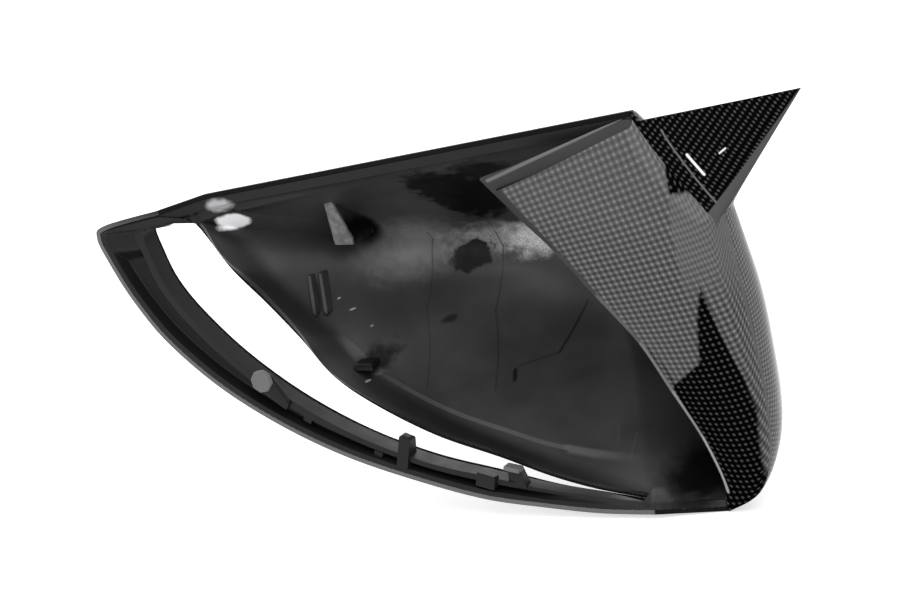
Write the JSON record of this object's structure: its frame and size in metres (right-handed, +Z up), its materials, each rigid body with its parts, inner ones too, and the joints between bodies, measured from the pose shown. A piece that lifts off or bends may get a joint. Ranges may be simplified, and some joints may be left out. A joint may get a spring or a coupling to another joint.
{
  "type": "wing mirror cover",
  "caption": "Left wing mirror cover with a pointed horn: moulded black base with clips and lamp slot, under a glossy carbon weave skin",
  "frame": {"origin": "the mount housing_seat: the middle of the flat lip along the upper rear edge, 45% of the way along that edge's straight run from its inner end", "axes": "-Y points into the mirror housing, out of the cover's mouth; +Y towards the nose; +X along the cover to its outer end; +Z up"},
  "size_m": [0.2563, 0.0813, 0.1409],
  "materials": {
    "base_plastic": "satin moulded black plastic",
    "carbon_gloss": "carbon weave under a glossy clear coat"
  },
  "bodies": {
    "root": {"base_shell": "base_plastic", "carbon_skin": "carbon_gloss"}
  },
  "joints": []
}
